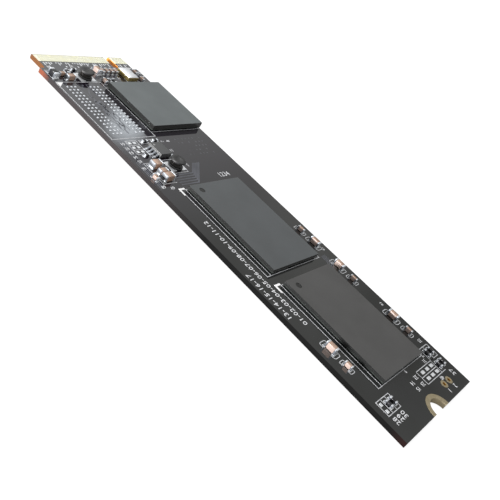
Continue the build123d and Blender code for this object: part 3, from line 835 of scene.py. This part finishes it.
for points in strokes:
    ribbon(ink, points, FINE)
corner_mark = [(-10.75, 32.0), (-9.3, 32.0), (-10.75, 30.75)]
base = [bold.verts.new((x * MM, y * MM, TOP)) for x, y in corner_mark]
roof = [bold.verts.new((x * MM, y * MM, TOP + INK)) for x, y in corner_mark]
bold.faces.new(base[::-1])
bold.faces.new(roof)
bridge(bold, base, roof)
piece("print_lines", ink, thin_ink)
piece("print_marks", bold, white_ink)

# %% [markdown]
# ## Plain numbers
# Beside most parts stands a small number, and two long lines run down the card's left side. They
# are kept as plain counting numbers. Text objects give the digits their outlines, which are then
# turned into thin meshes and laid on the card.

# %% Numbers
TYPE_SIZE = 1.42
marks = bmesh.new()


def number(text, x, y, height=0.6, turn=180, length=None):
    """Digits of one height in millimetres, turned in degrees, and squeezed to a length if one is given."""
    curve = bpy.data.curves.new("digits", "FONT")
    curve.body, curve.size = text, height * MM * TYPE_SIZE
    curve.align_x, curve.align_y = "CENTER", "CENTER"
    curve.extrude, curve.resolution_u = INK / 2, 2
    holder = bpy.data.objects.new("digits", curve)
    bpy.context.scene.collection.objects.link(holder)
    bpy.context.view_layer.update()
    final = holder.evaluated_get(bpy.context.evaluated_depsgraph_get())
    shape = bpy.data.meshes.new_from_object(final)
    if length:
        across = [vert.co.x for vert in shape.vertices]
        squeeze = length * MM / (max(across) - min(across))
        shape.transform(Matrix.Scale(squeeze, 4, (1, 0, 0)))
    place = Matrix.Translation((x * MM, y * MM, TOP + INK / 2))
    shape.transform(place @ Matrix.Rotation(math.radians(turn), 4, "Z"))
    marks.from_mesh(shape)
    bpy.data.objects.remove(holder)
    bpy.data.curves.remove(curve)
    bpy.data.meshes.remove(shape)


labels = [
    ("31", 6.1, -34.02, 0.62, 180), ("14", -0.35, -35.25, 0.62, 180), ("15", -0.35, -36.25, 0.62, 180),
    ("22", 1.3, -34.95, 0.62, 180), ("23", 1.35, -36.15, 0.62, 180), ("9", 0.5, -33.5, 0.62, 180),
    ("40", 6.2, -37.15, 0.62, 180), ("1", 5.15, -38.98, 0.7, 180), ("2", 7.15, -38.98, 0.7, 180),
    ("37", 9.6, -37.5, 0.8, 90), ("33", 9.55, -31.45, 0.62, 180), ("34", 6.9, -33.3, 0.55, 90),
    ("28", -9.2, -37.4, 0.8, 90), ("29", -8.05, -37.4, 0.8, 90), ("30", -6.95, -37.4, 0.8, 90),
    ("61", -9.5, 16.3), ("62", -9.5, 15.2), ("63", -9.5, 14.2), ("64", -9.5, 13.15),
    ("65", -9.5, 12.15), ("66", -10.0, 10.6), ("68", -9.7, 6.4), ("69", -8.2, 5.95),
    ("7", -0.9, 16.1, 0.65, 90), ("8", 0.4, 16.1, 0.65, 90), ("51", -1.0, 13.9),
    ("5", -0.7, 10.2, 0.65, 180), ("1234", 5.1, 7.0, 1.0, 0), ("71", -2.3, 35.3, 0.55, 180),
    ("74", -9.0, 36.35, 0.55, 180), ("75", -4.2, 36.65, 0.55, 180), ("76", 9.4, 36.6, 0.5, 180),
    ("72", 9.3, 31.6, 0.55, 180), ("73", 4.0, 33.4, 0.5, 180), ("81", 9.75, -11.9, 0.5, 90),
    ("82", 9.75, -24.0, 0.5, 90),
]
for label in labels:
    number(*label)
number("01-02-03-04-05-06-07-08-09-10-11-12", -8.4, -11.47, 0.78, 90, length=20.2)
number("13-14-15-16-17", -10.1, -15.85, 0.78, 90, length=8.2)
piece("print_numbers", marks, number_ink)

# %% [markdown]
# ## Copper under the lacquer
# Thin copper traces run under the lacquer and lift it by a few thousandths of a millimetre, so they
# show as faint lines where the light grazes the card. They are ribbons again, thinner than the
# print, in a black lacquer with more grey. Most are parallel bundles: beside the coil, at the
# controller's corner, along the left edge, in pairs behind the contacts and beside a flash package.
# In the memory place short fan-out traces wander by seeded chance.

# %% Traces
COPPER = 0.006 * MM
covered = finish(
    "lacquer over copper", (0.07, 0.072, 0.084), (0.15, 0.155, 0.18), 220, 0.10, 0.16, 900, 0.0008
)
chance = random.Random(7)
tracks = bmesh.new()


def track(points, width):
    ribbon(tracks, points, width, thick=COPPER)


def coil_bundle(count=5, start_x=-5.9, end_y=10.45):
    for step in range(count):
        bend_x, bend_y = -1.28 - 0.16 * step, 8.36 - 0.53 * step
        rise = end_y - bend_y
        track([(start_x, bend_y), (bend_x, bend_y), (bend_x + rise, bend_y + rise)], 0.24)


def controller_bundle(count=6, pitch=0.3):
    for step in range(count):
        y = 19.5 + pitch * step
        track([(-2.3, y), (-1.0, y), (-0.2, y + 0.8)], 0.12)


def left_bundle(count=5, pitch=0.36):
    for step in range(count):
        x, bend = -9.9 + pitch * step, 12.4 + pitch * step
        track([(x, 17.2), (x, bend), (x - 0.5, bend - 0.5), (x - 0.5, 6.0 + 0.5 * step)], 0.14)


def contact_pairs(count=4, pitch=2.0, half_gap=0.13):
    for pair in range(count):
        for side in (-half_gap, half_gap):
            x = 1.25 + pitch * pair + side
            track([(x, 37.3), (x, 36.2), (x + 0.5, 35.6 - side), (x + 0.5, 31.0)], 0.12)


def flash_bundle(count=4, pitch=0.33):
    for step in range(count):
        x, y = 7.6 + pitch * step, -14.4 - 0.1 * step
        track([(x, -13.0), (x, y), (x - 1.0, y - 1.0)], 0.14)


def fan_out(count=46):
    for _ in range(count):
        x, y = chance.uniform(-7.1, -3.9), chance.uniform(18.6, 30.6)
        turn, path = chance.choice((-1, 1)), [(x, y)]
        for leg in range(chance.choice((2, 3))):
            run = chance.uniform(0.35, 1.3)
            x += 0.7 * run * turn * (leg % 2)
            y += run
            path.append((max(-7.4, min(-3.6, x)), min(31.4, y)))
        track(path, chance.choice((0.12, 0.12, 0.3)))


for bundle in (coil_bundle, controller_bundle, left_bundle, contact_pairs, flash_bundle, fan_out):
    bundle()
piece("copper_tracks", tracks, covered)

# %% [markdown]
# ## Vias and contact stubs
# A via is a plated hole between layers. Filled and lacquered, it shows as a low ring with a sunk
# middle. Behind most contacts stands a short bare stub, where the contact runs on into the card.

# %% Vias and contact stubs
under_vias = finish(
    "lacquer over vias", (0.050, 0.048, 0.056), (0.100, 0.100, 0.112), 220, 0.10, 0.16, 900, 0.0008
)
VIA_RADIUS = 0.17
VIA_SHAPE = [(1.0, 0.0), (1.0, 0.6), (0.6, 1.3), (0.35, 1.2), (0.0, 0.7)]
vias, stubs = bmesh.new(), bmesh.new()


def via_field(rows, columns, share, left, near, step_x, step_y):
    """Rows and columns of vias, of which about the given share is there."""
    for row in range(rows):
        for column in range(columns):
            if chance.random() < share:
                middle = Vector(((left + step_x * column) * MM, (near + step_y * row) * MM, 0))
                profile = [(out * VIA_RADIUS * MM, TOP + rise * COPPER) for out, rise in VIA_SHAPE]
                lathe(vias, profile, middle, turns=12)


via_field(5, 8, 0.62, 2.3, 12.4, 0.85, 0.98)
via_field(9, 2, 0.8, -1.9, 18.6, 0.5, 1.45)
for low, high in islands("top_contacts"):
    x = (low.x + high.x) / 2 / MM
    if chance.random() < 0.8:
        ribbon(stubs, [(x, 37.62), (x, 37.62 - chance.choice((0.25, 0.45, 0.8)))], 0.2, thick=COPPER)
    if chance.random() < 0.35:
        ribbon(stubs, [(x, 36.62), (x, 36.3)], 0.22, thick=COPPER)
piece("contact_stubs", stubs, tinned_land)
piece("lacquered_vias", vias, under_vias, smooth=True)

# %% [markdown]
# ## Plating tails
# Hard gold is plated with a current, so every contact keeps a short tail of copper that runs to the
# card's cut end, where it was parted from the panel. One thin tail a contact, on both faces. A tail
# is a strip with three stations along its length: the contact, the brink and the foot of the bevel
# that leads the card into its socket.

# %% Plating tails
TIP_BEVEL = 0.15 * MM
TAIL_HALF, TAIL_THICK = 0.06 * MM, 0.015 * MM
TAIL_OVERLAP, TAIL_SETBACK = 0.02 * MM, 0.01 * MM
tail_tone = finish(
    "plating tail", (0.16, 0.10, 0.05), (0.30, 0.20, 0.11), 1500, 0.3, 0.5, 7000, 0.003, 0.7
)
tails = bmesh.new()
for node, side in (("top_contacts", 1), ("bottom_contacts", -1)):
    for low, high in islands(node):
        middle = (low.x + high.x) / 2
        face = low.z if side > 0 else high.z
        foot = face - side * (TIP_BEVEL - TAIL_SETBACK)
        stations = [(high.y - TAIL_OVERLAP, face), (PLUG_END - TIP_BEVEL, face)]
        stations.append((PLUG_END - TAIL_SETBACK, foot))
        rows = []
        for y, z in stations:
            left, right, lift = middle - TAIL_HALF, middle + TAIL_HALF, z + side * TAIL_THICK
            rim = [(left, y, z), (right, y, z), (right, y, lift), (left, y, lift)]
            rows.append([tails.verts.new(corner) for corner in rim])
        for near, far in zip(rows, rows[1:]):
            bridge(tails, near, far)
        tails.faces.new(rows[0][::-1])
        tails.faces.new(rows[-1])
piece("plating_tails", tails, tail_tone)
print("contacts end", [round(v / MM, 3) for v in (contacts_low.y, contacts_high.y)])

# %% [markdown]
# ## Plated test holes
# Each test point is a ring of plating whose hole is plated too. The ring is in the solid. The
# plated wall of the hole is a thin sleeve, turned from four corners.

# %% Test hole sleeves
SLEEVE_OUTER, SLEEVE_INNER = 0.298 * MM, 0.27 * MM
sleeves = bmesh.new()
for low, high in islands("test_point_lands"):
    bottom, top = board_low.z + 0.002 * MM, high.z - HAIR
    outside = [(SLEEVE_OUTER, top), (SLEEVE_OUTER, bottom)]
    inside = [(SLEEVE_INNER, bottom), (SLEEVE_INNER, top)]
    lathe(sleeves, outside + inside + outside[:1], (low + high) / 2, turns=28)
bmesh.ops.remove_doubles(sleeves, verts=sleeves.verts, dist=1e-7)
piece("test_hole_sleeves", sleeves, sleeve_gold, smooth=True)

# %% [markdown]
# ## First-pin dots
# A moulded package carries a small mark at its first pin. The flash packages have theirs as a
# dimple in the solid. The power switch has a printed dot, turned here from a flat profile.

# %% First-pin dot
DOT_RADIUS, DOT_SETBACK = 0.2 * MM, 0.55 * MM
dot_grey = finish("dot print", (0.20, 0.20, 0.20), (0.34, 0.34, 0.34), 2500, 0.4, 0.6, 9000, 0.004)
switch_low, switch_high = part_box("switch_body")
dot = bmesh.new()
dot_top = switch_high.z + 0.3 * INK
middle = Vector((switch_low.x + DOT_SETBACK, switch_high.y - DOT_SETBACK, 0))
lathe(dot, [(DOT_RADIUS, switch_high.z), (0.95 * DOT_RADIUS, dot_top), (0.0, dot_top)], middle, turns=24)
piece("switch_dot", dot, dot_grey)

# %% [markdown]
# ## The floor
# The card lies on a plain white table. The floor glows for the camera, and far less for reflections,
# so that it reads as white paper. The rest of its brightness comes from the lamps, so that the
# card's soft shadow stays on it.

# %% Floor
CAMERA_GLOW, GLOSS_GLOW, FLOOR_GREY = 0.88, 0.10, 0.25
FLOOR_REACH, FLOOR_GAP = 1.5, 0.02 * MM
paper = bpy.data.materials.new("white paper")
paper.use_nodes = True
paper.node_tree.nodes.clear()
graph = Graph(paper.node_tree)
rays = graph.node("LightPath").outputs
glow, matt, both = graph.node("Emission"), graph.node("BsdfDiffuse"), graph.node("AddShader")
to_camera = graph.math("MULTIPLY", rays["Is Camera Ray"], CAMERA_GLOW)
to_gloss = graph.math("MULTIPLY_ADD", rays["Is Glossy Ray"], GLOSS_GLOW, to_camera)
graph.feed(glow.inputs["Strength"], to_gloss)
graph.feed(matt.inputs["Color"], (FLOOR_GREY, FLOOR_GREY, FLOOR_GREY))
graph.feed(both.inputs[0], glow.outputs[0])
graph.feed(both.inputs[1], matt.outputs[0])
graph.feed(graph.node("OutputMaterial").inputs["Surface"], both.outputs[0])

floor_height = cad_low[2] - FLOOR_GAP
floor_sides = [(-1, -1), (1, -1), (1, 1), (-1, 1)]
floor_corners = [(x * FLOOR_REACH, y * FLOOR_REACH, floor_height) for x, y in floor_sides]
floor_mesh = bpy.data.meshes.new("floor")
floor_mesh.from_pydata(floor_corners, [], [(0, 1, 2, 3)])
floor_mesh.materials.append(paper)
floor = bpy.data.objects.new("floor", floor_mesh)
bpy.context.scene.collection.objects.link(floor)
print("floor at", floor_mesh.vertices[0].co.z)

# %% [markdown]
# ## Studio light
# The room is white to the camera. What the gloss sees is the room of a small studio: mostly pale,
# with a grey screen beyond the card's right side that keeps its lacquer dark, and a bright window
# beyond the contact end, with a small glint in it, whose sheen lies on the memory place. Each of the
# three is shaded by how near a ray runs to one direction, which is a dot product. Directions were
# chosen because they never move with the camera.

# %% Room
PLAIN_LEVEL = 0.56
COOL, WARM = (0.9, 0.98, 1.05), (1.0, 1.0, 0.96)
world = bpy.data.worlds.new("white room")
bpy.context.scene.world = world
world.use_nodes = True
graph = Graph(world.node_tree)
back = world.node_tree.nodes["Background"].inputs
rays = graph.node("LightPath").outputs


def direction(turn, lift):
    """The way that lies so many degrees round from +X, and so many up."""
    turn, lift = math.radians(turn), math.radians(lift)
    return Vector((math.cos(lift) * math.cos(turn), math.cos(lift) * math.sin(turn), math.sin(lift)))


def closeness(turn, lift):
    """The cosine of the angle between a ray and one direction."""
    ray = graph.node("TexCoord").outputs["Generated"]
    return graph.vector("DOT_PRODUCT", ray, direction(turn, lift))["Value"]


def room_patch(turn, lift, stops, tint):
    """Brightness by how near a ray is to one direction, from a list of (closeness, level)."""
    shade = graph.node("ValToRGB")
    ends = shade.color_ramp.elements
    while len(ends) < len(stops):
        ends.new(0.5)
    for end, (nearness, level) in zip(ends, stops):
        end.position = nearness
        end.color = (*[level * part for part in tint], 1)
    graph.feed(shade.inputs["Fac"], closeness(turn, lift))
    return shade.outputs["Color"]


def room_glint(turn, lift, nearly, fully, level, tint):
    """A spot too small for a ramp: its brightness rises evenly between two closenesses."""
    strength = graph.span(closeness(turn, lift), nearly, fully)
    return graph.mix(strength, (0, 0, 0), [level * part for part in tint])


screen_stops = [(0.74, 0.68), (0.86, 0.47), (0.95, 0.33), (0.985, 0.36), (0.999, 0.19)]
window_stops = [(0.95, 0.0), (0.985, 0.10), (0.995, 0.20), (1.0, 0.3)]
screen = room_patch(6, 25, screen_stops, WARM)
window = room_patch(45, 28, window_stops, COOL)
glint = room_glint(37.5, 26.15, 0.99945, 0.9999, 1.9, COOL)
for_gloss = graph.math("MAXIMUM", rays["Is Glossy Ray"], rays["Is Transmission Ray"])
studio = graph.vector("ADD", graph.vector("ADD", screen, window)["Vector"], glint)["Vector"]
graph.feed(back["Color"], graph.mix(for_gloss, (1, 1, 1), studio))
plain = graph.math("MULTIPLY", rays["Is Diffuse Ray"], PLAIN_LEVEL)
to_camera = graph.math("MAXIMUM", rays["Is Camera Ray"], plain)
graph.feed(back["Strength"], graph.math("MAXIMUM", to_camera, for_gloss))
print("room has", len(world.node_tree.nodes), "nodes")

# %% [markdown]
# ## Lamps
# A wide lamp stands low on the card's left. It makes the left faces of the chip parts bright, and
# the packages shade what stands behind them. A softer one hangs above and behind, for the tops.

# %% Lamps
def lamp_toward(name, way, distance, size, power, colour):
    data = bpy.data.lights.new(name, "AREA")
    data.shape = "RECTANGLE"
    data.size, data.size_y = size
    data.energy, data.color = power, colour
    holder = bpy.data.objects.new(name, data)
    holder.location = way * distance
    holder.rotation_euler = way.to_track_quat("Z", "Y").to_euler()
    bpy.context.scene.collection.objects.link(holder)
    print(name, [round(v, 3) for v in holder.location])


lamp_toward("left_lamp", direction(165, 4), 0.9, (0.45, 0.06), 17.0, (1.0, 0.99, 0.98))
lamp_toward("top_lamp", direction(70, 66), 1.0, (0.6, 0.6), 5.0, (1.0, 1.0, 1.0))

# %% [markdown]
# ## The camera
# The card is seen from its screw end's left corner, from not far off, so the near corner is large
# and the contact end small. Its place and turn were found from the card's own corners, and a small
# shift puts the frame where the photograph has it.

# %% Camera
VIEW_WAY, VIEW_UP = (0.7945, 0.3863, -0.4687), (0.1310, 0.6445, 0.7533)
CAMERA_PLACE = Vector((-85.09, -40.77, 50.825)) * MM
forward = Vector(VIEW_WAY).normalized()
sideways = forward.cross(Vector(VIEW_UP)).normalized()
upward = sideways.cross(forward).normalized()
lens = bpy.data.cameras.new("camera")
lens.sensor_width, lens.lens = 36, 51.63
lens.shift_x, lens.shift_y = 0.0386, -0.0890
lens.clip_start, lens.clip_end = 0.001, 10
camera = bpy.data.objects.new("camera", lens)
turn = Matrix((sideways, upward, -forward)).transposed().to_4x4()
camera.matrix_world = Matrix.Translation(CAMERA_PLACE) @ turn
bpy.context.scene.collection.objects.link(camera)
bpy.context.scene.camera = camera
bpy.context.scene.view_settings.view_transform = "Standard"
print("camera at", [round(v, 4) for v in camera.location])

# %% [markdown]
# ## The end
